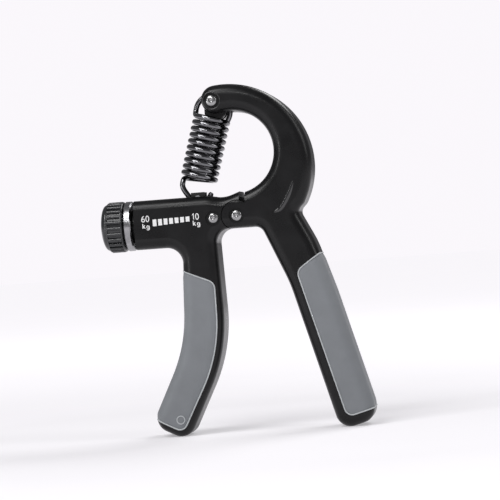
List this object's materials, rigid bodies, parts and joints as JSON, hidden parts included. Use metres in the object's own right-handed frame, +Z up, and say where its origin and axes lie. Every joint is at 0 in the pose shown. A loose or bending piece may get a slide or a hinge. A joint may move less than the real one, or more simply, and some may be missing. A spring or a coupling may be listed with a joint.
{
  "type": "hand grip strengthener",
  "caption": "Sprung hand grip exerciser: a hooked palm handle and a finger handle on a pivot, with a coil spring whose foot moves along a screw to set the resistance.",
  "frame": {"origin": "middle of the bottom of the bounding box, on the level that the two handle ends stand on", "axes": "+Z up along the handles, +X from the resistance knob towards the palm handle, +Y from the front face to the back face (pivot axis)"},
  "size_m": [0.1056, 0.0206, 0.1404],
  "materials": {
    "arm_plastic": "satin black moulded plastic",
    "grip_elastomer": "matt grey soft elastomer",
    "bright_metal": "polished plated steel",
    "spring_steel": "nickel-plated spring wire",
    "zinc_steel": "zinc-plated steel",
    "bearing_brass": "plain turned brass",
    "knob_plastic": "semi-gloss dark grey plastic",
    "slider_plastic": "black nylon"
  },
  "bodies": {
    "hook_arm": {"hook_arm_front": "arm_plastic", "hook_arm_back": "arm_plastic", "palm_pad": "grip_elastomer", "hook_case_screws": "zinc_steel", "spring_anchor_pin": "bright_metal", "pivot_pin": "bright_metal"},
    "finger_arm": {"finger_arm_front": "arm_plastic", "finger_arm_back": "arm_plastic", "finger_pad": "grip_elastomer", "finger_case_screws": "zinc_steel", "housing_rivet": "bright_metal", "pivot_bush": "bearing_brass", "guide_channel": "zinc_steel", "screw_neck_bush": "bearing_brass", "screw_end_bush": "bearing_brass", "end_collar": "bright_metal", "thrust_washer": "zinc_steel"},
    "knob": {"lead_screw": "zinc_steel", "knob": "knob_plastic", "knob_cap": "knob_plastic", "knob_screw": "zinc_steel"},
    "slider": {"slider_block": "slider_plastic", "slider_nut": "bearing_brass", "slider_pin": "zinc_steel"},
    "spring_top": {"spring_upper_turns": "spring_steel"},
    "spring_mid": {"spring_middle_turns": "spring_steel"},
    "spring_bottom": {"spring_lower_turns": "spring_steel"}
  },
  "joints": [
    {"name": "grip_close", "type": "hinge", "parent": "hook_arm", "child": "finger_arm", "pos_m": [0.00316, 0, 0.08731], "axis": [0, -1, 0], "range_deg": [0, 30], "stiffness_Nm_per_rad": 3.05, "springref_deg": -3.21},
    {"name": "knob_turn", "type": "hinge", "parent": "finger_arm", "child": "knob", "pos_m": [-0.04384, 0, 0.08616], "axis": [-1, 0, 0], "range_deg": [-6480, 0]},
    {"name": "slider_slide", "type": "slide", "parent": "finger_arm", "child": "slider", "axis": [1, 0, 0], "range_m": [-0.018, 0]},
    {"name": "spring_swing", "type": "hinge", "parent": "hook_arm", "child": "spring_top", "pos_m": [-0.00374, 0, 0.13391], "axis": [0, 1, 0], "range_deg": [-0.01, 21.81], "deforming": ["spring_upper_turns"]},
    {"name": "spring_stretch_set", "type": "slide", "parent": "spring_top", "child": "spring_mid", "axis": [-0.2294, 0, -0.9733], "range_m": [-0.00001, 0.00751], "deforming": ["spring_middle_turns"]},
    {"name": "spring_stretch_grip", "type": "slide", "parent": "spring_mid", "child": "spring_bottom", "axis": [-0.2294, 0, -0.9733], "range_m": [-0.00001, 0.00926], "deforming": ["spring_lower_turns"]}
  ],
  "couplings": [
    {"joint": "slider_slide", "follows": "knob_turn", "m_per_rad": 0.00015915},
    {"joint": "spring_swing", "follows": "knob_turn", "ratio": -0.0033642},
    {"joint": "spring_stretch_set", "follows": "knob_turn", "m_per_rad": -0.000066315},
    {"joint": "spring_stretch_grip", "follows": "grip_close", "m_per_rad": 0.017666}
  ]
}
